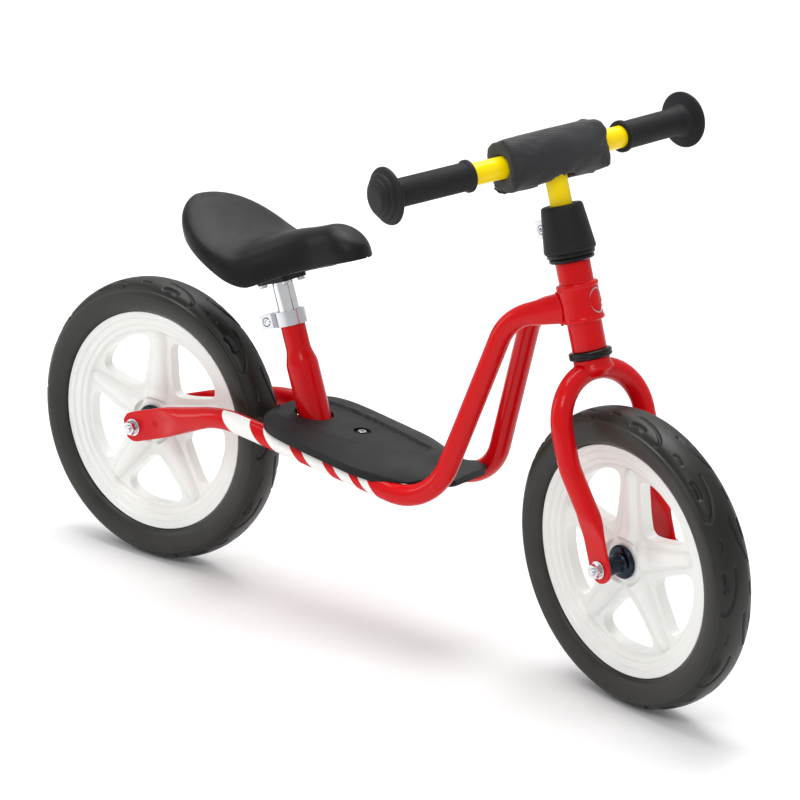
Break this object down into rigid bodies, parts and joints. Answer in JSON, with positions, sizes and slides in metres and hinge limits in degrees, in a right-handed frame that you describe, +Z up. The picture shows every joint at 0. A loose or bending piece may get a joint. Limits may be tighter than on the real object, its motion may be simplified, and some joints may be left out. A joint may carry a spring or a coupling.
{
  "type": "balance bike",
  "caption": "Child's balance bike: low step-through frame with footboard, adjustable saddle and handlebar, free steering and two spoked wheels",
  "frame": {"origin": "on the ground, in the frame's middle plane, halfway between the two axles, which is within 4 mm of the middle of the base of the bounding box", "axes": "+X forward, +Y to the rider's left, +Z up"},
  "size_m": [0.8937, 0.3937, 0.5616],
  "materials": {
    "red_paint": "glossy",
    "yellow_paint": "glossy",
    "black_plastic": "fine grain",
    "black_rubber": "matte",
    "black_steel": "semi-gloss",
    "tyre_foam": "satin",
    "white_plastic": "glossy",
    "chrome": "polished",
    "zinc": "satin",
    "saddle_skin": "satin",
    "pad_fabric": "woven"
  },
  "bodies": {
    "frame": {"board_bridge": "red_paint", "footboard": "black_plastic", "footboard_screw": "zinc", "frame_tube_left": "red_paint", "frame_tube_right": "red_paint", "head_tube": "red_paint", "lower_bearing_bush": "black_plastic", "lower_bearing_cover": "black_plastic", "rear_axle": "zinc", "rear_axle_nut_left": "zinc", "rear_axle_nut_right": "zinc", "rear_hub_spacer_left": "black_steel", "rear_hub_spacer_right": "black_steel", "rear_washer_left": "zinc", "rear_washer_right": "zinc", "seat_bridge": "red_paint", "seat_clamp": "zinc", "seat_clamp_bolt": "zinc", "seat_clamp_nut": "zinc", "seat_tube": "red_paint", "upper_bearing_bush": "black_plastic", "upper_bearing_cover": "black_plastic"},
    "seat": {"saddle_base": "black_plastic", "saddle_bracket": "black_steel", "saddle_cushion": "saddle_skin", "saddle_screw_1": "zinc", "saddle_screw_2": "zinc", "saddle_screw_3": "zinc", "saddle_screw_4": "zinc", "seat_post": "chrome"},
    "steering": {"fork": "red_paint", "front_axle": "zinc", "front_axle_nut_left": "zinc", "front_axle_nut_right": "zinc", "front_hub_spacer_left": "black_steel", "front_hub_spacer_right": "black_steel", "front_washer_left": "zinc", "front_washer_right": "zinc", "headset_lock_ring": "black_steel", "stem_clamp": "zinc", "stem_clamp_bolt": "zinc", "stem_clamp_nut": "zinc", "stem_shroud": "black_plastic"},
    "handlebar": {"grip_left": "black_rubber", "grip_right": "black_rubber", "handlebar": "yellow_paint", "handlebar_pad": "pad_fabric"},
    "front_wheel": {"front_bearing_left": "zinc", "front_bearing_right": "zinc", "front_rim": "white_plastic", "front_tyre": "tyre_foam"},
    "rear_wheel": {"rear_bearing_left": "zinc", "rear_bearing_right": "zinc", "rear_rim": "white_plastic", "rear_tyre": "tyre_foam"}
  },
  "joints": [
    {"name": "steering", "type": "hinge", "parent": "frame", "child": "steering", "pos_m": [0.2929, 0, 0.15], "axis": [-0.304, 0, 0.9527], "continuous": true},
    {"name": "seat_height", "type": "slide", "parent": "frame", "child": "seat", "axis": [-0.3502, 0, 0.9367], "range_m": [-0.016, 0.06]},
    {"name": "handlebar_height", "type": "slide", "parent": "steering", "child": "handlebar", "axis": [-0.304, 0, 0.9527], "range_m": [-0.02, 0.03]},
    {"name": "front_wheel_spin", "type": "hinge", "parent": "steering", "child": "front_wheel", "pos_m": [0.29834, -0.00135, 0.14995], "axis": [0.2401, 0.9677, 0.0766], "continuous": true},
    {"name": "rear_wheel_spin", "type": "hinge", "parent": "frame", "child": "rear_wheel", "pos_m": [-0.2985, 0, 0.15], "axis": [0, 1, 0], "continuous": true}
  ]
}
